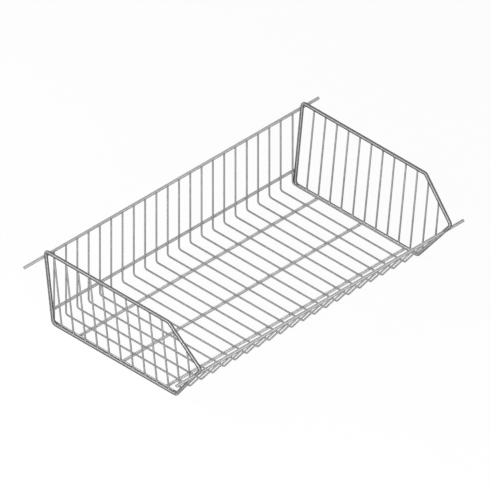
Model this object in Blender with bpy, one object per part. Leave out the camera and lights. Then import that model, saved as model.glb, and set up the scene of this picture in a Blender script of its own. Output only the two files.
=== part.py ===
"""Wire storage basket: a welded steel wire tray with open, sloping ends and a low front lip.

Units are metres and +Z is up. X runs along the basket's length, and the front faces -Y.
Inside the script a point of the basket is (x, depth, height): depth is measured towards the
front from the centreline of the end frames' back legs, and height from the centreline of their
bottom bars. The function "place" turns that into world coordinates, whose origin is the middle of
the basket's footprint, at the surface that it stands on.
"""

import math

import bpy

MM = 0.001

# Wire diameters, and the clearance left at every weld
FRAME_WIRE = 6.2 * MM
RAIL_WIRE = 5.2 * MM
MESH_WIRE = 3.0 * MM
WELD_GAP = 0.3 * MM

# End frames, measured along the centreline of their wire
FRAME_HEIGHT = 150.0 * MM
FRAME_SPACING_BOTTOM = 545.5 * MM
FRAME_SPACING_TOP = 580.6 * MM
TOP_BAR_LENGTH = 278.0 * MM
BOTTOM_BAR_LENGTH = 277.5 * MM
NOSE_REACH = 343.0 * MM
NOSE_HEIGHT = 85.0 * MM
FRAME_BEND_RADIUS = 7.0 * MM

# Rails along the basket
RAIL_END_PROJECTION = 44.0 * MM
BACK_RAIL_DROP = 15.0 * MM
LOWER_RAIL_HEIGHT = 21.5 * MM
LOWER_RAIL_OVERHANG = 0.5 * MM
LOWER_RAIL_SHIFT = 2.0 * MM
FRONT_RAIL_DROP = 18.0 * MM
FLOOR_RAIL_NAMES = ("floor_rail_rear", "floor_rail_middle", "floor_rail_front")
FLOOR_RAIL_DROP = 3.0 * MM
FLOOR_RAIL_REAR_GAP = 51.5 * MM
FLOOR_RAIL_FRONT_GAP = 29.4 * MM

# Cross wires, each bent from one length
CROSS_WIRE_COUNT = 22
CROSS_WIRE_OVERLAP = 1.0 * MM
MESH_BEND_RADIUS = 4.5 * MM

# End wires: how far the first stands from the back leg and the last from the nose
END_WIRE_COUNT = 12
LEFT_WIRES_REAR_GAP = 19.4 * MM
LEFT_WIRES_NOSE_GAP = 28.0 * MM
RIGHT_WIRES_REAR_GAP = 26.8 * MM
RIGHT_WIRES_NOSE_GAP = 31.0 * MM

# How finely round wire is cut into facets, whose flats lie on the round wire
BEND_STEPS = 6
THICK_RESOLUTION = 4
THIN_RESOLUTION = 3
SIDES_BASE = 4
SIDES_PER_RESOLUTION = 2

# Zinc-plated steel wire
ZINC_COLOUR = (0.47, 0.48, 0.47, 1.0)
ZINC_ROUGHNESS = 0.35
ZINC_METALLIC = 1.0

LEFT = -1
RIGHT = 1

# Sizes that follow from the ones above
FRAME_RADIUS = FRAME_WIRE / 2
RAIL_RADIUS = RAIL_WIRE / 2
MESH_RADIUS = MESH_WIRE / 2
FRAME_LEAN = (FRAME_SPACING_TOP - FRAME_SPACING_BOTTOM) / 2 / FRAME_HEIGHT
SLANT = math.hypot(1, FRAME_LEAN)
LIP_RUN = (NOSE_REACH - BOTTOM_BAR_LENGTH) / NOSE_HEIGHT

CROSS_DEPTH = MESH_RADIUS - FRAME_RADIUS
BACK_RAIL_DEPTH = -FRAME_RADIUS - RAIL_RADIUS - WELD_GAP
BACK_RAIL_HEIGHT = FRAME_HEIGHT - BACK_RAIL_DROP
FRONT_RAIL_HEIGHT = NOSE_HEIGHT - FRONT_RAIL_DROP
FLOOR_RAIL_HEIGHT = -FLOOR_RAIL_DROP
CROSS_FLOOR_HEIGHT = FLOOR_RAIL_HEIGHT + RAIL_RADIUS + MESH_RADIUS + WELD_GAP
BASE_HEIGHT = FLOOR_RAIL_HEIGHT - RAIL_RADIUS


def frame_x(height):
    """Distance from the middle of the basket to an end frame's wire at a height."""
    return FRAME_SPACING_BOTTOM / 2 + FRAME_LEAN * height


def lip_depth(height):
    """Depth of the slanted lip's centreline at a height."""
    return BOTTOM_BAR_LENGTH + LIP_RUN * height


def rounded(corners, radius):
    """A path of (depth, height) points with each inner corner turned into an arc."""
    path = [corners[0]]
    for before, corner, after in zip(corners, corners[1:], corners[2:]):
        back = (before[0] - corner[0], before[1] - corner[1])
        ahead = (after[0] - corner[0], after[1] - corner[1])
        back_angle = math.atan2(back[1], back[0])
        ahead_angle = math.atan2(ahead[1], ahead[0])
        opening = math.remainder(ahead_angle - back_angle, 2 * math.pi)
        middle_angle = back_angle + opening / 2
        to_centre = radius / math.sin(abs(opening) / 2)
        centre = (corner[0] + to_centre * math.cos(middle_angle),
                  corner[1] + to_centre * math.sin(middle_angle))
        turn = math.copysign(math.pi - abs(opening), -opening)
        start_angle = middle_angle + math.pi - turn / 2
        for step in range(BEND_STEPS + 1):
            angle = start_angle + turn * step / BEND_STEPS
            path.append((centre[0] + radius * math.cos(angle), centre[1] + radius * math.sin(angle)))
    path.append(corners[-1])
    return path


def frame_path():
    """Centreline of an end frame: from under the front rail round to just above it."""
    lip_length = math.hypot(LIP_RUN, SLANT)
    sideways = FRAME_LEAN / lip_length
    square_on = math.sqrt(1 - sideways ** 2)
    cut = (RAIL_RADIUS + WELD_GAP + FRAME_RADIUS * sideways) / square_on
    cut_height = cut / lip_length
    below = FRONT_RAIL_HEIGHT - cut_height
    above = FRONT_RAIL_HEIGHT + cut_height
    corners = [(lip_depth(below), below),
               (BOTTOM_BAR_LENGTH, 0.0),
               (0.0, 0.0),
               (0.0, FRAME_HEIGHT),
               (TOP_BAR_LENGTH, FRAME_HEIGHT),
               (NOSE_REACH, NOSE_HEIGHT),
               (lip_depth(above), above)]
    return rounded(corners, FRAME_BEND_RADIUS)


FRAME_PATH = frame_path()
FRONT_DEPTH = max(depth for depth, height in FRAME_PATH) + FRAME_RADIUS
BACK_DEPTH = BACK_RAIL_DEPTH - RAIL_RADIUS
MIDDLE_DEPTH = (FRONT_DEPTH + BACK_DEPTH) / 2


def place(x, depth, height):
    """World coordinates of a point of the basket."""
    return (x, MIDDLE_DEPTH - depth, height - BASE_HEIGHT)


def clear_scene():
    for item in list(bpy.data.objects):
        bpy.data.objects.remove(item, do_unlink=True)


def make_collection(name):
    collection = bpy.data.collections.new(name)
    bpy.context.scene.collection.children.link(collection)
    return collection


def make_zinc(name):
    material = bpy.data.materials.new(name)
    material.use_nodes = True
    shader = material.node_tree.nodes["Principled BSDF"]
    shader.inputs["Base Color"].default_value = ZINC_COLOUR
    shader.inputs["Roughness"].default_value = ZINC_ROUGHNESS
    shader.inputs["Metallic"].default_value = ZINC_METALLIC
    return material


def half_facet(resolution):
    """Half the angle that one facet of a wire takes up."""
    return math.pi / (SIDES_BASE + SIDES_PER_RESOLUTION * resolution)


def add_wire(name, points, diameter, resolution, twist="MINIMUM", tilt=0.0):
    """A round wire with flat cut ends along a list of world points."""
    curve = bpy.data.curves.new(name, "CURVE")
    curve.dimensions = "3D"
    curve.twist_mode = twist
    curve.bevel_depth = diameter / 2 / math.cos(half_facet(resolution))
    curve.bevel_resolution = resolution
    curve.use_fill_caps = True
    spline = curve.splines.new("POLY")
    spline.points.add(len(points) - 1)
    for spline_point, point in zip(spline.points, points):
        spline_point.co = (*point, 1.0)
        spline_point.tilt = tilt
    curve.materials.append(make_zinc(name + "_zinc"))
    wire = bpy.data.objects.new(name, curve)
    BASKET.objects.link(wire)
    wire.parent = BASKET_ORIGIN
    return wire


def add_rail(name, half_length, depth, height, shift=0.0):
    """A straight rail along X, turned so that one of its facets faces straight down."""
    ends = [place(shift - half_length, depth, height), place(shift + half_length, depth, height)]
    return add_wire(name, ends, RAIL_WIRE, THICK_RESOLUTION, twist="Z_UP", tilt=half_facet(THICK_RESOLUTION))


def add_end_frame(name, side):
    points = [place(side * frame_x(height), depth, height) for depth, height in FRAME_PATH]
    return add_wire(name, points, FRAME_WIRE, THICK_RESOLUTION)


def add_rails():
    back_half = frame_x(BACK_RAIL_HEIGHT) + RAIL_END_PROJECTION
    add_rail("back_top_rail", back_half, BACK_RAIL_DEPTH, BACK_RAIL_HEIGHT)

    lower_half = frame_x(LOWER_RAIL_HEIGHT) + LOWER_RAIL_OVERHANG
    add_rail("back_lower_rail", lower_half, BACK_RAIL_DEPTH, LOWER_RAIL_HEIGHT, LOWER_RAIL_SHIFT)

    front_half = frame_x(FRONT_RAIL_HEIGHT) + RAIL_END_PROJECTION
    add_rail("front_rail", front_half, lip_depth(FRONT_RAIL_HEIGHT), FRONT_RAIL_HEIGHT)

    floor_half = frame_x(0.0) - FRAME_RADIUS - WELD_GAP
    floor_span = BOTTOM_BAR_LENGTH - FLOOR_RAIL_REAR_GAP - FLOOR_RAIL_FRONT_GAP
    floor_pitch = floor_span / (len(FLOOR_RAIL_NAMES) - 1)
    for index, name in enumerate(FLOOR_RAIL_NAMES):
        depth = FLOOR_RAIL_REAR_GAP + floor_pitch * index
        add_rail(name, floor_half, depth, FLOOR_RAIL_HEIGHT)


def add_cross_wires():
    """Cross wires, spread evenly between the two that lie along the frames' bottom bars.

    Those two clear their end frame where it is narrowest, whichever way the frames lean.
    """
    lip_length = math.hypot(LIP_RUN, 1)
    tip_height = FRONT_RAIL_HEIGHT - (RAIL_RADIUS + WELD_GAP) / lip_length
    top_height = BACK_RAIL_HEIGHT + CROSS_WIRE_OVERLAP
    path = rounded([(CROSS_DEPTH, top_height),
                    (CROSS_DEPTH, CROSS_FLOOR_HEIGHT),
                    (lip_depth(CROSS_FLOOR_HEIGHT), CROSS_FLOOR_HEIGHT),
                    (lip_depth(tip_height), tip_height)], MESH_BEND_RADIUS)
    narrowest = min(frame_x(0.0), frame_x(top_height))
    outermost = narrowest - FRAME_RADIUS - MESH_RADIUS - WELD_GAP
    pitch = 2 * outermost / (CROSS_WIRE_COUNT - 1)
    for index in range(CROSS_WIRE_COUNT):
        x = -outermost + pitch * index
        points = [place(x, depth, height) for depth, height in path]
        add_wire(f"cross_wire_{index + 1:02d}", points, MESH_WIRE, THIN_RESOLUTION)


def end_wire_seats(depth):
    """Heights between which an end wire fits inside its frame, from low to high.

    Each end stops clear of the frame's wire, further back where that wire runs aslant.
    """
    seats = []
    for (depth_a, height_a), (depth_b, height_b) in zip(FRAME_PATH, FRAME_PATH[1:]):
        low, high = sorted((depth_a, depth_b))
        if not low <= depth < high:
            continue
        run = depth_b - depth_a
        rise = (height_b - height_a) * SLANT
        length = math.hypot(run, rise)
        crossing = height_a + (height_b - height_a) * (depth - depth_a) / run
        clear = FRAME_RADIUS + WELD_GAP + MESH_RADIUS * abs(rise) / length
        seats.append((crossing, clear * length / abs(run) / SLANT))
    bottom, bottom_clear = min(seats)
    top, top_clear = max(seats)
    return bottom + bottom_clear, top - top_clear


def add_end_wires(prefix, side, rear_gap, nose_gap):
    pitch = (NOSE_REACH - rear_gap - nose_gap) / (END_WIRE_COUNT - 1)
    for index in range(END_WIRE_COUNT):
        depth = rear_gap + pitch * index
        points = [place(side * frame_x(height), depth, height) for height in end_wire_seats(depth)]
        add_wire(f"{prefix}_{index + 1:02d}", points, MESH_WIRE, THIN_RESOLUTION)


clear_scene()
BASKET = make_collection("wire_storage_basket")
BASKET_ORIGIN = bpy.data.objects.new("basket_origin", None)
BASKET.objects.link(BASKET_ORIGIN)

add_end_frame("end_frame_left", LEFT)
add_end_frame("end_frame_right", RIGHT)
add_rails()
add_cross_wires()
add_end_wires("left_end_wire", LEFT, LEFT_WIRES_REAR_GAP, LEFT_WIRES_NOSE_GAP)
add_end_wires("right_end_wire", RIGHT, RIGHT_WIRES_REAR_GAP, RIGHT_WIRES_NOSE_GAP)
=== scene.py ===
# %% [markdown]
# # A welded wire storage basket, plated with zinc
#
# This lesson makes the visible model of a shop basket that is bent and welded from round steel wire
# in three thicknesses. A shop makes it in the order used here: wire is straightened and cut, bent on
# pegs, laid in a jig and spot welded where two wires meet, and then the whole basket is plated.
#
# The CAD solids give the size and place of every wire. Their wires have ten or twelve flat sides and
# stop a hair short of each other, so each one is modelled again with a round section, rounded cut
# ends and the weld metal that holds it.

# %% Load the basket's solids
import math
import random

import bpy
import numpy as np
from mathutils import Matrix, Vector


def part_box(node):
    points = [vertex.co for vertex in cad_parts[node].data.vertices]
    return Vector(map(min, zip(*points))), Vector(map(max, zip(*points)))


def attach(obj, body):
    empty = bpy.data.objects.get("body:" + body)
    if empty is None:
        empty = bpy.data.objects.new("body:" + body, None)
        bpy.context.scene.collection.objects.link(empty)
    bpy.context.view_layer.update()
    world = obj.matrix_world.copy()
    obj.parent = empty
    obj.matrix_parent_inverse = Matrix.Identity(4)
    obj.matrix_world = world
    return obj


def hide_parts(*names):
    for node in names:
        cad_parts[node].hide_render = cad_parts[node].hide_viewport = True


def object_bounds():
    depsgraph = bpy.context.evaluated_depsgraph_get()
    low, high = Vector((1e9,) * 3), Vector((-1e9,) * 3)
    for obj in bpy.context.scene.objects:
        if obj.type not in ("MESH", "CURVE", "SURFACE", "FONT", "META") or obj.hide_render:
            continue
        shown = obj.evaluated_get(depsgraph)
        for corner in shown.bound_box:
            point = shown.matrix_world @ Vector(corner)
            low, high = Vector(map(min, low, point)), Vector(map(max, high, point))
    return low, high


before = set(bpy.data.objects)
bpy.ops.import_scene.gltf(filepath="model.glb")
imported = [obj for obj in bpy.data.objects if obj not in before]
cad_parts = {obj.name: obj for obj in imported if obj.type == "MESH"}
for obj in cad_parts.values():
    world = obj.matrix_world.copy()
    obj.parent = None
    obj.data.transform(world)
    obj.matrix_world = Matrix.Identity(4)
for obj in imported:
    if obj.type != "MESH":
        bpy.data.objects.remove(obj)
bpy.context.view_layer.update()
MM = 0.001

# %% [markdown]
# ## Where the wires run
#
# A wire is known by the line down its middle. For a straight rail that line runs through the middle
# of the solid's box, so the rails are read from the boxes. The bent wires share their corners, so
# the corners are worked out once from the bending measures: how deep and how high each corner
# lies from the lower back corner of an end frame.
#
# Typing world positions for every wire would also work, but then a change of one measure would have
# to be made in fifty places.

# %% Set the measures
# Thickness of the wire of the end frames, of the rails and of the mesh
FRAME_WIRE, RAIL_WIRE, MESH_WIRE = 6.2 * MM, 5.2 * MM, 3.0 * MM
# From the middle of a rail to the middle of a leg, of a bottom bar and of a mesh wire
LEG_TO_RAIL, BAR_OVER_RAIL, WIRE_TO_RAIL = 6.0 * MM, 3.0 * MM, 4.4 * MM
# Depths and heights of an end frame's corners
TOP_BAR, FRAME_HEIGHT = 278.0 * MM, 150.0 * MM
NOSE_DEPTH, NOSE_HEIGHT = 343.0 * MM, 85.0 * MM
BOTTOM_BAR = 277.5 * MM
# Distance between the two end frames at their bottom bars and at their top bars
SPACING_BOTTOM, SPACING_TOP = 545.5 * MM, 580.6 * MM
# Radius of the bends at the middle of the wire
FRAME_BEND, MESH_BEND = 7.0 * MM, 4.5 * MM
CROSS_WIRES, END_WIRES = 22, 12
SIDES = {"left": -1, "right": 1}


def middle(node):
    """Middle of a solid's box."""
    low, high = (Vector(corner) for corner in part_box(node))
    return (low + high) / 2


BACK_RAIL, FRONT_RAIL = middle("back_top_rail"), middle("front_rail")
LEG_Y = BACK_RAIL.y - LEG_TO_RAIL
BAR_Z = middle("floor_rail_rear").z + BAR_OVER_RAIL
FRONT_HEIGHT = FRONT_RAIL.z - BAR_Z
print("leg line y", round(LEG_Y / MM, 2), " bar line z", round(BAR_Z / MM, 2),
      " front rail height", round(FRONT_HEIGHT / MM, 2))

# %% Measure on the end frames


def frame_x(height):
    """Half the distance between the end frames, which lean outwards."""
    return (SPACING_BOTTOM + (SPACING_TOP - SPACING_BOTTOM) * height / FRAME_HEIGHT) / 2


def place(x, depth, height):
    """World point from the depth and height measured on an end frame."""
    return Vector((x, LEG_Y - depth, BAR_Z + height))


def lip_depth(height):
    """Depth of the slanted front lip at a height."""
    return BOTTOM_BAR + (NOSE_DEPTH - BOTTOM_BAR) * height / NOSE_HEIGHT


LIP_RISE = (place(0.0, lip_depth(NOSE_HEIGHT), NOSE_HEIGHT) - place(0.0, lip_depth(0.0), 0.0)).normalized()
print("the lip rises at", round(math.degrees(math.asin(LIP_RISE.z)), 1), "degrees")

# %% [markdown]
# ## A wire bender
#
# Real wire is fed straight, turned round a peg, and fed again. The function below does the same with
# a disc: the disc is extruded for each straight run and spun about the peg for each bend. The first
# and last rings are a little smaller, because a cut wire end is tumbled and has no sharp rim.
#
# A curve with a round bevel gives a similar tube in one step, but its flat ends and its twist at the
# corners have to be repaired afterwards. Feeding and spinning keeps the rings true.
#
# Each vertex also keeps two things for the finish. The attribute wire_space is its place on the wire
# before bending: two numbers across the wire and the distance along it. The attribute wire_heading
# is the way the wire runs there. With these two the finish follows a wire round every bend.

# %% Start a piece and finish it
SMOOTH_ANGLE = math.radians(50)


def start_disc(name, spot, heading, radius, sides):
    """A filled disc across the start of a wire or weld, left selected in edit mode."""
    bpy.ops.object.select_all(action="DESELECT")
    bpy.ops.mesh.primitive_circle_add(vertices=sides, radius=radius, fill_type="NGON", location=spot,
                                      rotation=heading.to_track_quat("Z", "Y").to_euler())
    piece = bpy.context.object
    piece.name = piece.data.name = name
    bpy.ops.object.transform_apply(location=True, rotation=True, scale=True)
    bpy.ops.object.mode_set(mode="EDIT")
    bpy.ops.mesh.select_all(action="SELECT")
    return piece


def finish_mesh(piece):
    """Turn every face outwards and shade the round sides smooth."""
    bpy.ops.mesh.select_all(action="SELECT")
    bpy.ops.mesh.normals_make_consistent(inside=False)
    bpy.ops.object.mode_set(mode="OBJECT")
    bpy.ops.object.shade_smooth_by_angle(angle=SMOOTH_ANGLE)
    return piece


def note_wire_space(wire, rings, sides):
    """Keep each vertex's place on the unbent wire, and the way the wire runs, as attributes."""
    around = 2 * math.pi * np.arange(sides) / sides
    space = [np.column_stack((radius * np.cos(around), radius * np.sin(around),
                              np.full(sides, distance))) for distance, radius, way in rings]
    ways = [np.tile(way, (sides, 1)) for distance, radius, way in rings]
    for label, values in (("wire_space", space), ("wire_heading", ways)):
        attribute = wire.data.attributes.new(label, "FLOAT_VECTOR", "POINT")
        attribute.data.foreach_set("vector", np.concatenate(values).astype(np.float32).ravel())


print("faces that meet at less than", round(math.degrees(SMOOTH_ANGLE)), "degrees are shaded as one")

# %% Bend a wire
EDGE_ROUND = 0.45 * MM
# The rim of a cut end is rounded in two steps: mostly outwards first, then mostly along the wire.
SHORT_STEP, LONG_STEP = 0.3, 0.7
BEND_STEPS = 8


def bend_wire(name, corners, diameter, sides, bend=0.0):
    """One length of round wire through the corners, with bends of one radius."""
    headings = [(b - a).normalized() for a, b in zip(corners, corners[1:])]
    turns = [a.angle(b) for a, b in zip(headings, headings[1:])]
    setbacks = [0.0] + [bend * math.tan(turn / 2) for turn in turns] + [0.0]
    full, cut = diameter / 2, diameter / 2 - EDGE_ROUND
    eased = cut + LONG_STEP * EDGE_ROUND
    spot, rings = corners[0], [(0.0, cut, headings[0])]
    wire = start_disc(name, spot, headings[0], cut, sides)

    def feed(heading, length, radius):
        """Push the wire on in a straight line, to an end of the given radius."""
        nonlocal spot
        step = heading * length
        spot = spot + step
        bpy.ops.mesh.extrude_region_move(TRANSFORM_OT_translate={"value": step})
        ratio = radius / rings[-1][1]
        bpy.ops.transform.resize(value=(ratio, ratio, ratio), center_override=spot)
        rings.append((rings[-1][0] + length, radius, heading))

    for index, heading in enumerate(headings):
        run = (corners[index + 1] - corners[index]).length - setbacks[index] - setbacks[index + 1]
        first, last = index == 0, index == len(headings) - 1
        if first:
            feed(heading, SHORT_STEP * EDGE_ROUND, eased)
            feed(heading, LONG_STEP * EDGE_ROUND, full)
        feed(heading, run - EDGE_ROUND * (first + last), full)
        if last:
            feed(heading, LONG_STEP * EDGE_ROUND, eased)
            feed(heading, SHORT_STEP * EDGE_ROUND, cut)
            break
        turn, following = turns[index], headings[index + 1]
        inward = (following - heading).normalized()
        peg = corners[index + 1] + inward * bend / math.cos(turn / 2)
        axis = heading.cross(following)
        bpy.ops.mesh.spin(steps=BEND_STEPS, angle=-turn, center=peg, axis=axis)
        start = rings[-1][0]
        for step in range(1, BEND_STEPS + 1):
            share = turn * step / BEND_STEPS
            rings.append((start + bend * share, full, Matrix.Rotation(share, 3, axis) @ heading))
        spot = corners[index + 1] + following * setbacks[index + 1]

    finish_mesh(wire)
    note_wire_space(wire, rings, sides)
    return wire


print("one bend is made in", BEND_STEPS, "steps; cut ends are rounded by", EDGE_ROUND / MM, "mm")

# %% [markdown]
# ## The two end frames
#
# Each end frame is one thick wire. Five bends divide it into the bottom bar, the back leg, the top bar,
# a sloping front bar and the lip, where its two cut ends meet inside the weld at the front rail. The
# frames lean outwards, which lets empty baskets nest, so a corner's place sideways depends on its
# height.
#
# A closed ring would be easier to draw, but a bender can't make one: a wire always has two ends.

# %% Bend the end frames
FRAME_SIDES = 28
# From the middle of the front rail to a cut end, along the height
END_STANDOFF = 1.0 * MM


def frame_corners(side):
    """Corners of an end frame from one cut end round to the other; side is -1 left, 1 right."""
    low, high = FRONT_HEIGHT - END_STANDOFF, FRONT_HEIGHT + END_STANDOFF
    outline = [(lip_depth(low), low), (BOTTOM_BAR, 0.0), (0.0, 0.0), (0.0, FRAME_HEIGHT),
               (TOP_BAR, FRAME_HEIGHT), (NOSE_DEPTH, NOSE_HEIGHT), (lip_depth(high), high)]
    return [place(side * frame_x(height), depth, height) for depth, height in outline]


def hand_over(piece, node):
    """Put a finished wire in the place of its solid."""
    spots = np.array([vertex.co for vertex in piece.data.vertices])
    off = abs(np.array([spots.min(axis=0), spots.max(axis=0)]) - np.array(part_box(node))).max()
    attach(piece, "root")
    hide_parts(node)
    return off


frames = []
for label, side in SIDES.items():
    wire = bend_wire(f"end_frame_{label}_plated", frame_corners(side), FRAME_WIRE, FRAME_SIDES, FRAME_BEND)
    off = hand_over(wire, f"end_frame_{label}")
    frames.append(wire)
    print(wire.name, len(wire.data.polygons), "faces, box within", round(off / MM, 2), "mm of the solid")

# %% [markdown]
# ## The rails
#
# Six straight wires of medium thickness tie the frames together. The two back rails lie behind the
# legs, the front rail caps the lip, and the three floor rails run under the floor. The back top rail
# and the front rail stick out at both ends, where the basket hangs on its shelf brackets.
#
# The rails are straight, so a cylinder would do, but the bender gives them rounded ends and a finish
# that runs along them. The floor rails are welded under the bottom bars, so they are fed further than
# their solids, which have to stay clear of the bars. The back lower rail is fed a little less, so that
# its ends stay tucked behind the legs.

# %% Cut the rails
RAIL_SIDES = 24
FLOOR_FEED, TUCK = 2.4 * MM, 0.8 * MM
FLOOR_RAILS = [f"floor_rail_{where}" for where in ("rear", "middle", "front")]


def cut_rail(node, longer=0.0):
    """A straight rail along X between the ends of its solid's box, with each end fed further."""
    low, high = (Vector(corner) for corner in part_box(node))
    line = middle(node)
    ends = [Vector((low.x - longer, line.y, line.z)), Vector((high.x + longer, line.y, line.z))]
    wire = bend_wire(f"{node}_plated", ends, RAIL_WIRE, RAIL_SIDES)
    hand_over(wire, node)
    print(wire.name, "length", round(wire.dimensions.x / MM, 1), "mm")
    return wire


rails = [cut_rail("back_top_rail"), cut_rail("back_lower_rail", -TUCK), cut_rail("front_rail")]
floor_rails = [cut_rail(node, FLOOR_FEED) for node in FLOOR_RAILS]

# %% [markdown]
# ## The cross wires
#
# Twenty-two thin wires run down the back, along the floor and up the lip in one piece, with two bends
# each. They are all alike, so one is bent and the others are copies of it. Each copy starts its finish
# at another distance along the wire, or the same cloud would show on all of them. Thin wires get fewer
# sides than the frames: they are half as thick, and with the end wires there are forty-six.
#
# The first and the last of them lie along the bottom bars, and the spot welder presses them into the
# bars until about a third of their thickness is sunk. So these two sit a little further out than
# their solids, which have to stay clear of the bars.

# %% Bend the cross wires
MESH_SIDES = 20
# A wire that stands on another is fed this far into it
BUTT_DEPTH = 0.6 * MM
# The wires end this far above the middle of the back top rail
TOP_STUB = 1.0 * MM
# The first and the last wire are pressed this far outwards
SET_DOWN = 1.5 * MM
# The finish of each copy starts somewhere within this length of wire
FINISH_SPREAD = 1000.0 * MM

BACK_DEPTH = WIRE_TO_RAIL - LEG_TO_RAIL
FLOOR_HEIGHT = WIRE_TO_RAIL - BAR_OVER_RAIL
TOP_HEIGHT = BACK_RAIL.z - BAR_Z + TOP_STUB
TIP_HEIGHT = FRONT_HEIGHT - RAIL_WIRE / 2 + BUTT_DEPTH
dice = random.Random(11)


def copy_wire(pattern, node, x):
    """A copy of a wire at its place along X, with its finish started somewhere else."""
    wire = pattern.copy()
    wire.data = pattern.data.copy()
    wire.name = wire.data.name = f"{node}_plated"
    wire.data.transform(Matrix.Translation((x, 0.0, 0.0)))
    bpy.context.collection.objects.link(wire)
    space = wire.data.attributes["wire_space"].data
    values = np.empty(3 * len(space), np.float32)
    space.foreach_get("vector", values)
    values[2::3] += dice.uniform(0.0, FINISH_SPREAD)
    space.foreach_set("vector", values)
    return wire


outline = [(BACK_DEPTH, TOP_HEIGHT), (BACK_DEPTH, FLOOR_HEIGHT),
           (lip_depth(FLOOR_HEIGHT), FLOOR_HEIGHT), (lip_depth(TIP_HEIGHT), TIP_HEIGHT)]
pattern = bend_wire("cross_wire", [place(0.0, depth, height) for depth, height in outline],
                    MESH_WIRE, MESH_SIDES, MESH_BEND)
cross_wires, cross_x, offs = [], [], []
for number in range(1, CROSS_WIRES + 1):
    node = f"cross_wire_{number:02d}"
    x = middle(node).x
    if number in (1, CROSS_WIRES):
        x += math.copysign(SET_DOWN, x)
    wire = copy_wire(pattern, node, x)
    offs.append(hand_over(wire, node))
    cross_wires.append(wire)
    cross_x.append(x)
bpy.data.objects.remove(pattern)
print(len(cross_wires), "cross wires: the outer two lie", round(max(offs) / MM, 2),
      "mm from their solids, the others within", round(max(offs[1:-1]) / MM, 2), "mm")

# %% [markdown]
# ## The end wires
#
# Twelve thin straight wires fill each end, cut to the height of the frame at their place. They stand
# on the bottom bar or the lip, and lean outwards with the frame.
#
# Dividing the frame into equal steps would place them too, but the two ends are spaced a little
# differently on this basket, so each end wire's place is read from its solid.

# %% Cut the end wires


def end_wire_ends(node, side, longer=0.0):
    """Foot and top of an end wire, read from its solid's box, with each end fed further."""
    low, high = (Vector(corner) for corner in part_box(node))
    depth = LEG_Y - (low.y + high.y) / 2
    heights = low.z - BAR_Z - longer, high.z - BAR_Z + longer
    return [place(side * frame_x(height), depth, height) for height in heights]


end_wires = []
for label, side in SIDES.items():
    for number in range(1, END_WIRES + 1):
        node = f"{label}_end_wire_{number:02d}"
        wire = bend_wire(f"{node}_plated", end_wire_ends(node, side, BUTT_DEPTH), MESH_WIRE, MESH_SIDES)
        off = hand_over(wire, node)
        end_wires.append(wire)
    print(label, "end:", END_WIRES, "wires, the last within", round(off / MM, 2), "mm of its solid")

# %% [markdown]
# ## The welds
#
# Where two wires cross, a spot welder presses them together until they sink into each other, and a
# small flat bead is squeezed out between them. Where a wire stands on another, the weld leaves a flared
# collar round its foot, and a fillet fills the corner where a floor rail meets a bottom bar. The two
# ends of an end frame are closed with a thicker sleeve of weld metal.
#
# Each of these is built up once, ring on ring, and copied to its places with a small turn, since no
# two welds come out alike. Little spheres would be quicker, but they look like drops of glue. One piece
# holds all the welds of a rail or an end, as they are one material.

# %% Build the weld patterns
WELD_SIDES = 12
UPWARD = Vector((0.0, 0.0, 1.0))


def build_up(name, rings):
    """A closed round lump about Z through rings of (height, radius) in mm."""
    height, radius = rings[0]
    lump = start_disc(name, Vector((0.0, 0.0, height * MM)), UPWARD, radius * MM, WELD_SIDES)
    for next_height, next_radius in rings[1:]:
        bpy.ops.mesh.extrude_region_move(
            TRANSFORM_OT_translate={"value": (0.0, 0.0, (next_height - height) * MM)})
        ratio = next_radius / radius
        bpy.ops.transform.resize(value=(ratio, ratio, ratio), center_override=(0.0, 0.0, next_height * MM))
        height, radius = next_height, next_radius
    return finish_mesh(lump)


bead = build_up("bead", ((-0.75, 0.9), (-0.4, 1.5), (0.0, 1.75), (0.4, 1.5), (0.75, 0.9)))
leg_bead = build_up("leg_bead", ((-1.3, 0.9), (-0.7, 1.5), (0.0, 1.75), (0.7, 1.5), (1.3, 0.9)))
collar = build_up("collar", ((-0.8, 2.05), (0.1, 1.95), (0.6, 1.7), (1.2, 1.53)))
fillet = build_up("fillet", ((-1.0, 1.1), (-0.5, 1.9), (0.0, 2.1), (0.5, 1.8), (0.9, 0.9)))
sleeve = build_up("sleeve", ((-4.5, 3.05), (-3.0, 3.2), (-1.4, 3.35), (0.0, 3.25),
                             (1.4, 3.35), (3.0, 3.2), (4.5, 3.05)))
patterns = [bead, leg_bead, collar, fillet, sleeve]
print("weld patterns:", ", ".join(f"{p.name} {len(p.data.polygons)} faces" for p in patterns))

# %% Weld the back rails
SMALLEST_WELD, LARGEST_WELD = 0.94, 1.06
ACROSS = Vector((0.0, 1.0, 0.0))


def seat(spot, heading):
    """Place of a weld whose axis points along the heading, turned and sized a little at random."""
    turn = Matrix.Rotation(dice.uniform(0.0, 2 * math.pi), 4, "Z")
    size = Matrix.Scale(dice.uniform(SMALLEST_WELD, LARGEST_WELD), 4)
    return Matrix.Translation(spot) @ heading.to_track_quat("Z", "Y").to_matrix().to_4x4() @ turn @ size


def weld_up(name, groups):
    """Copy patterns to their seats and join the copies into one piece."""
    bpy.ops.object.select_all(action="DESELECT")
    for pattern, seats in groups:
        for matrix in seats:
            copy = pattern.copy()
            copy.data = pattern.data.copy()
            copy.matrix_world = matrix
            bpy.context.collection.objects.link(copy)
            copy.select_set(True)
    bpy.context.view_layer.objects.active = copy
    bpy.ops.object.join()
    bpy.ops.object.transform_apply(location=True, rotation=True, scale=True)
    piece = bpy.context.object
    piece.name = piece.data.name = name
    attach(piece, "root")
    print(piece.name, len(piece.data.polygons), "faces")
    return piece


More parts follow.
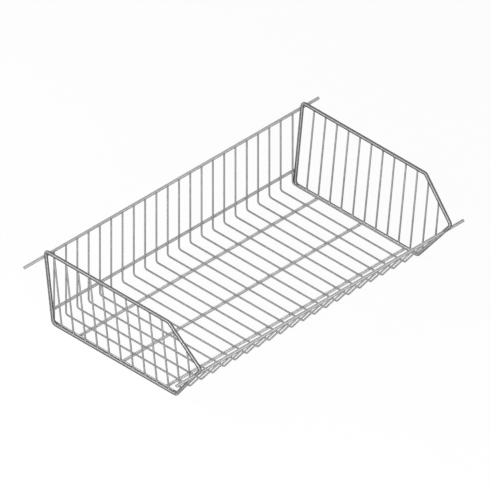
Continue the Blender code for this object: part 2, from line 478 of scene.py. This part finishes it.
welds = []
for node in ("back_top_rail", "back_lower_rail"):
    rail = middle(node)
    contact = (rail.y - RAIL_WIRE / 2 + rail.y - WIRE_TO_RAIL + MESH_WIRE / 2) / 2
    leg_x = frame_x(rail.z - BAR_Z)
    on_wires = [seat(Vector((x, contact, rail.z)), ACROSS) for x in cross_x]
    on_legs = [seat(Vector((side * leg_x + rail.x, contact, rail.z)), ACROSS) for side in SIDES.values()]
    welds.append(weld_up(f"{node}_welds", [(bead, on_wires), (leg_bead, on_legs)]))

# %% Weld the floor rails
for node in FLOOR_RAILS:
    rail = middle(node)
    contact = (rail.z + RAIL_WIRE / 2 + rail.z + WIRE_TO_RAIL - MESH_WIRE / 2) / 2
    reach, crest = frame_x(0.0) - FRAME_WIRE / 2, rail.z + RAIL_WIRE / 2
    on_wires = [seat(Vector((x, rail.y, contact)), UPWARD) for x in cross_x]
    on_bars = [seat(Vector((side * reach, rail.y, crest)), Vector((-side, 0.0, 1.0)))
               for side in SIDES.values()]
    welds.append(weld_up(f"{node}_welds", [(bead, on_wires), (fillet, on_bars)]))

# %% Weld the front rail and the end wires
under = FRONT_HEIGHT - RAIL_WIRE / 2 * LIP_RISE.z
tips = [seat(place(x, lip_depth(under), under), -LIP_RISE) for x in cross_x]
lips = [frame_corners(side) for side in SIDES.values()]
closings = [seat((lip[0] + lip[-1]) / 2, (lip[0] - lip[1]).normalized()) for lip in lips]
welds.append(weld_up("front_rail_welds", [(collar, tips), (sleeve, closings)]))

for label, side in SIDES.items():
    feet = []
    for number in range(1, END_WIRES + 1):
        foot, top = end_wire_ends(f"{label}_end_wire_{number:02d}", side)
        rise = (top - foot).normalized()
        feet += [seat(foot, rise), seat(top, -rise)]
    welds.append(weld_up(f"{label}_end_welds", [(collar, feet)]))

for pattern in patterns:
    bpy.data.objects.remove(pattern)

# %% [markdown]
# ## The closed grooves
#
# The first and the last cross wire are pressed into the bottom bars of the end frames, and a narrow
# groove is left above, between wire and bar. On such a basket weld metal and zinc fill it, so that the
# two read as one. Here a thin round run is laid in each groove, sunk a little into both.
#
# Joining wire and bar with a boolean would blend them better, but then they would be one piece.

# %% Close the grooves
RUN_WIRE, RUN_SINK = 1.3 * MM, 0.3 * MM
RUN_REAR, RUN_FRONT = 10.0 * MM, 270.0 * MM

runs = []
for (label, side), wire_x in zip(SIDES.items(), (cross_x[0], cross_x[-1])):
    bar_x = side * frame_x(0.0)
    # The middles of bar, wire and run are the corners of a triangle with three known sides.
    gap, tilt = math.hypot(bar_x - wire_x, FLOOR_HEIGHT), math.atan2(FLOOR_HEIGHT, abs(bar_x - wire_x))
    to_bar, to_wire = ((thick + RUN_WIRE) / 2 - RUN_SINK for thick in (FRAME_WIRE, MESH_WIRE))
    lift = tilt + math.acos((to_bar ** 2 + gap ** 2 - to_wire ** 2) / (2 * to_bar * gap))
    x, height = bar_x - side * to_bar * math.cos(lift), to_bar * math.sin(lift)
    ends = [place(x, depth, height) for depth in (RUN_REAR, RUN_FRONT)]
    run = bend_wire(f"{label}_groove_run", ends, RUN_WIRE, WELD_SIDES)
    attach(run, "root")
    runs.append(run)
    sunk = (FRAME_WIRE + MESH_WIRE) / 2 - gap
    print(run.name, "closes the groove beside a wire that is sunk", round(sunk / MM, 2), "mm into its bar")

# %% [markdown]
# ## Zinc finishes
#
# Zinc is plated on after welding. It is a soft neutral grey metal. The rollers that straighten the wire
# turn round it and leave fine rings, which still show through the plating: they stretch every highlight
# along the wire into one clean bright line. The plating itself is a little cloudy from wire to wire,
# and tiny crystals break up the reflection.
#
# All patterns are made from the wire_space attribute and scaled from millimetres, and the highlight is
# stretched along wire_heading. An image texture would need seams on fifty tubes, and rings as real
# grooves would need millions of faces. The weld metal has no rings and takes its patterns from Object
# coordinates.

# %% Make colours and nodes


def linear(code):
    """Linear colour from a hex sRGB code."""
    parts = [int(code[i:i + 2], 16) / 255 for i in (1, 3, 5)]
    return tuple(p / 12.92 if p <= 0.04045 else ((p + 0.055) / 1.055) ** 2.4 for p in parts) + (1.0,)


def add_node(tree, kind, settings=(), links=()):
    """Add a node, set its properties and sockets, and link outputs into its inputs."""
    node = tree.nodes.new(kind)
    for key, value in dict(settings).items():
        if isinstance(key, int) or key in node.inputs:
            node.inputs[key].default_value = value
        else:
            setattr(node, key, value)
    for key, output in dict(links).items():
        tree.links.new(output, node.inputs[key])
    return node


print("mid grey #808080 is", round(linear("#808080")[0], 3), "in linear light")

# %% Plate wire with zinc
# Real rings are a few hundredths of a millimetre wide and real crystals are no larger. Both are drawn
# ten times coarser or more, because even a close view wouldn't show them otherwise.
RING_REACH, CRYSTAL = 6.0 * MM, 0.9 * MM
CLOUD_WIDTH, CLOUD_LENGTH = 9.0 * MM, 40.0 * MM
# Crystals and clouds count for less than the rings, and their sum runs between two levels.
CRYSTAL_SHARE, CLOUD_SHARE = 0.3, 0.4
DARKEST_SUM, LIGHTEST_SUM = 0.5, 1.2
GLOSS_SPREAD = 0.06
RELIEF, RELIEF_STRENGTH = 0.02 * MM, 0.3


def zinc_plate(name, dark, light, edge, rough, ringed, ring):
    """Zinc over straightened wire: fine rings round the wire, clouds in the plating and crystals.

    Its grey lies between dark and light, and edge tints it at a grazing angle. ringed says how far the
    rings stretch the highlight, from 0 to 1, and ring is the width of one ring.
    """
    material = bpy.data.materials.new(name)
    material.use_nodes = True
    tree, shader = material.node_tree, material.node_tree.nodes["Principled BSDF"]
    if ringed:
        space = add_node(tree, "ShaderNodeAttribute", {"attribute_name": "wire_space"}).outputs["Vector"]
    else:
        space = add_node(tree, "ShaderNodeTexCoord").outputs["Object"]
    ring_scale, cloud_scale = ((1 / width, 1 / width, 1 / length) for width, length in
                               ((RING_REACH, ring), (CLOUD_WIDTH, CLOUD_LENGTH)))
    ring_space = add_node(tree, "ShaderNodeMapping", {"Scale": ring_scale}, {"Vector": space})
    rings = add_node(tree, "ShaderNodeTexNoise", {"Scale": 1.0, "Detail": 2.0},
                     {"Vector": ring_space.outputs[0]})
    cloud_space = add_node(tree, "ShaderNodeMapping", {"Scale": cloud_scale}, {"Vector": space})
    clouds = add_node(tree, "ShaderNodeTexNoise", {"Scale": 1.0, "Detail": 3.0},
                      {"Vector": cloud_space.outputs[0]})
    crystals = add_node(tree, "ShaderNodeTexVoronoi", {"Scale": 1 / CRYSTAL}, {"Vector": space})
    grain = add_node(tree, "ShaderNodeSeparateColor", {}, {"Color": crystals.outputs["Color"]})
    # Rings and crystals shift the grey from spot to spot, and clouds from one stretch to the next.
    spotted = add_node(tree, "ShaderNodeMath", {"operation": "MULTIPLY_ADD", 1: CRYSTAL_SHARE},
                       {0: grain.outputs["Red"], 2: rings.outputs["Fac"]})
    cloudy = add_node(tree, "ShaderNodeMath", {"operation": "MULTIPLY_ADD", 1: CLOUD_SHARE},
                      {0: clouds.outputs["Fac"], 2: spotted.outputs[0]})
    tone = add_node(tree, "ShaderNodeMapRange", {"From Min": DARKEST_SUM, "From Max": LIGHTEST_SUM},
                    {"Value": cloudy.outputs[0]})
    colour = add_node(tree, "ShaderNodeValToRGB", {}, {"Fac": tone.outputs[0]})
    for stop, code in zip(colour.color_ramp.elements, (dark, light)):
        stop.color = linear(code)
    tree.links.new(colour.outputs["Color"], shader.inputs["Base Color"])
    # The same tone breaks up the gloss and gives the surface a slight relief.
    gloss = add_node(tree, "ShaderNodeMapRange",
                     {"To Min": rough - GLOSS_SPREAD, "To Max": rough + GLOSS_SPREAD},
                     {"Value": tone.outputs[0]})
    tree.links.new(gloss.outputs[0], shader.inputs["Roughness"])
    bump = add_node(tree, "ShaderNodeBump", {"Strength": RELIEF_STRENGTH, "Distance": RELIEF},
                    {"Height": tone.outputs[0]})
    tree.links.new(bump.outputs["Normal"], shader.inputs["Normal"])
    shader.inputs["Metallic"].default_value = 1.0
    shader.inputs["Specular Tint"].default_value = linear(edge)
    if ringed:
        heading = add_node(tree, "ShaderNodeAttribute", {"attribute_name": "wire_heading"})
        tree.links.new(heading.outputs["Vector"], shader.inputs["Tangent"])
        shader.inputs["Anisotropic"].default_value = ringed
    return material


print("crystals are drawn", CRYSTAL / MM, "mm wide, and clouds", CLOUD_LENGTH / MM, "mm long")

# %% Choose the finishes
# Dull zinc on the thick frame wire: the darkest grey of the basket, with the sharpest bright line.
frame_zinc = zinc_plate("dull_zinc_on_frame_wire", dark="#6A6A6A", light="#868686", edge="#000000",
                        rough=0.40, ringed=1.0, ring=0.35 * MM)
# Bright zinc on the rails: a pale, even grey with a soft line.
rail_zinc = zinc_plate("bright_zinc_on_rail_wire", dark="#929292", light="#AEAEAE", edge="#FFFFFF",
                       rough=0.76, ringed=0.9, ring=0.30 * MM)
# Painted light: paler zinc on the floor rails, so that in the floor's shade they look as pale as the
# others.
floor_rail_zinc_painted_paler = zinc_plate("zinc_on_floor_rails_painted_paler_against_shade", dark="#AAAAAA", light="#C6C6C6", edge="#FFFFFF",
                        rough=0.62, ringed=0.9, ring=0.30 * MM)
# Zinc on the thin wire: mid grey between frames and rails.
mesh_zinc = zinc_plate("zinc_on_mesh_wire", dark="#767676", light="#939393", edge="#FFFFFF",
                       rough=0.50, ringed=0.9, ring=0.22 * MM)
# Rougher zinc on the weld metal: small dull lumps beside the smooth wire.
weld_zinc = zinc_plate("rough_zinc_on_weld_metal", dark="#767676", light="#989898", edge="#FFFFFF",
                       rough=0.60, ringed=0.0, ring=0.50 * MM)
# Painted light in the grooves: the runs get the palest grey, which keeps the shaded grooves from going
# dark.
groove_zinc_painted_pale = zinc_plate("zinc_in_grooves_painted_pale_against_shade", dark="#C4C4C4", light="#DADADA", edge="#FFFFFF",
                         rough=0.50, ringed=0.9, ring=0.30 * MM)

for pieces, material in ((frames, frame_zinc), (rails, rail_zinc), (floor_rails, floor_rail_zinc_painted_paler),
                         (cross_wires + end_wires, mesh_zinc), (welds, weld_zinc), (runs, groove_zinc_painted_pale)):
    for piece in pieces:
        piece.data.materials.clear()
        piece.data.materials.append(material)
    print(len(pieces), "pieces with", material.name)

# %% [markdown]
# ## The paper and the room
#
# The basket stands on white paper in a white room. The camera, and every reflection, sees paper and
# room as plain white, and a little of the paper's real shade is mixed in, so that it keeps the soft
# shadow of the wires.
#
# Lighting the paper until it looks white would be simpler, but that light would also fall on the wires
# and wash them out.

# %% Lay the paper
FLOOR_SIZE = 14.0
FLOOR_SHADE, PAPER_ROUGHNESS = 0.06, 0.9


def seen_mask(tree):
    """One for camera rays and for the rays that metal and glass reflect or pass on."""
    path = add_node(tree, "ShaderNodeLightPath").outputs
    first = add_node(tree, "ShaderNodeMath", {"operation": "ADD"},
                     {0: path["Is Camera Ray"], 1: path["Is Glossy Ray"]})
    both = add_node(tree, "ShaderNodeMath", {"operation": "ADD", "use_clamp": True},
                    {0: first.outputs[0], 1: path["Is Transmission Ray"]})
    return both.outputs[0]


FLOOR_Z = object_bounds()[0][2]
bpy.ops.object.select_all(action="DESELECT")
bpy.ops.mesh.primitive_plane_add(size=FLOOR_SIZE, location=(0.0, 0.0, FLOOR_Z))
floor = bpy.context.object
floor.name = "studio_floor"
# White paper: matte all over, with no gloss at any angle.
paper = bpy.data.materials.new("white_paper")
paper.use_nodes = True
tree = paper.node_tree
matte = tree.nodes["Principled BSDF"]
matte.inputs["Base Color"].default_value = linear("#FCFCFC")
matte.inputs["Roughness"].default_value = PAPER_ROUGHNESS
matte.inputs["Specular IOR Level"].default_value = 0.0
glow = add_node(tree, "ShaderNodeEmission", {"Color": linear("#FFFFFF"), "Strength": 1.0})
shown = add_node(tree, "ShaderNodeMixShader", {0: FLOOR_SHADE}, {1: glow.outputs[0], 2: matte.outputs[0]})
surface = add_node(tree, "ShaderNodeMixShader", {},
                   {0: seen_mask(tree), 1: matte.outputs[0], 2: shown.outputs[0]})
tree.links.new(surface.outputs[0], tree.nodes["Material Output"].inputs["Surface"])
floor.data.materials.append(paper)
print("floor at z", round(FLOOR_Z / MM, 3), "mm")

# %% Light the room
ROOM_LIGHT = 0.2

world = bpy.data.worlds.new("studio")
bpy.context.scene.world = world
world.use_nodes = True
tree = world.node_tree
tree.nodes.clear()
room = add_node(tree, "ShaderNodeBackground", {"Color": linear("#FFFFFF"), "Strength": ROOM_LIGHT})
white = add_node(tree, "ShaderNodeBackground", {"Color": linear("#FFFFFF"), "Strength": 1.0})
mixed = add_node(tree, "ShaderNodeMixShader", {},
                 {0: seen_mask(tree), 1: room.outputs[0], 2: white.outputs[0]})
add_node(tree, "ShaderNodeOutputWorld", {}, {"Surface": mixed.outputs[0]})
print("room light", ROOM_LIGHT, "of the white that the camera sees")

# %% [markdown]
# ## The lamps
#
# Three lamps give each wire its bright line. A wide softbox stands in front, from near the floor up to
# the camera's height, and lights the rails. An upright wire mirrors the camera down to the floor, so a
# strip light stands low in front for the legs. A softbox at the back left lights the wires that run
# from back to front, because a round wire mirrors the camera to that side.
#
# Small lamps would do the same with less light, but on smooth metal they leave hard specks.

# %% Set up the lamps


def softbox(name, toward, distance, width, height, radiance):
    """An area lamp that looks at the basket from a direction and shines with one radiance all over."""
    lamp = bpy.data.lights.new(name, "AREA")
    lamp.shape, lamp.size, lamp.size_y = "RECTANGLE", width, height
    lamp.energy = radiance * math.pi * width * height
    holder = bpy.data.objects.new(name, lamp)
    bpy.context.collection.objects.link(holder)
    aim = Vector(toward).normalized()
    holder.location = aim * distance
    holder.rotation_euler = aim.to_track_quat("Z", "Y").to_euler()
    holder.visible_camera = False
    print(name, round(lamp.energy, 1), "W")
    return holder


softbox("front_softbox", toward=(-1.0, -1.0, 0.54), distance=2.6, width=3.0, height=1.75, radiance=4.1)
softbox("low_strip_light", toward=(-1.0, -1.0, 0.12), distance=2.6, width=0.8, height=0.40, radiance=44.0)
softbox("back_left_softbox", toward=(-1.0, 1.0, 1.0), distance=2.4, width=1.6, height=1.6, radiance=4.8)

# %% [markdown]
# ## The camera
#
# The picture is drawn in true isometric projection: all three axes are foreshortened alike and parallel
# edges stay parallel. An orthographic camera on the space diagonal gives exactly that, and its scale
# makes one millimetre along an axis as long as in the picture. A long lens far away would come close.

# %% Aim the camera
# Metres across the picture, and the point in its middle
PICTURE_WIDTH = 0.78252
AIM = Vector((0.096615, 0.103966, 0.0056))
DIAGONAL = Vector((-1.0, -1.0, 1.0)).normalized()
CAMERA_DISTANCE = 3.0

camera = bpy.data.objects.new("isometric_camera", bpy.data.cameras.new("isometric_camera"))
bpy.context.collection.objects.link(camera)
camera.data.type = "ORTHO"
camera.data.ortho_scale = PICTURE_WIDTH
camera.location = AIM + DIAGONAL * CAMERA_DISTANCE
camera.rotation_euler = DIAGONAL.to_track_quat("Z", "Y").to_euler()
bpy.context.scene.camera = camera
bpy.context.scene.view_settings.view_transform = "Standard"
print("camera scale", PICTURE_WIDTH, "m over the picture")
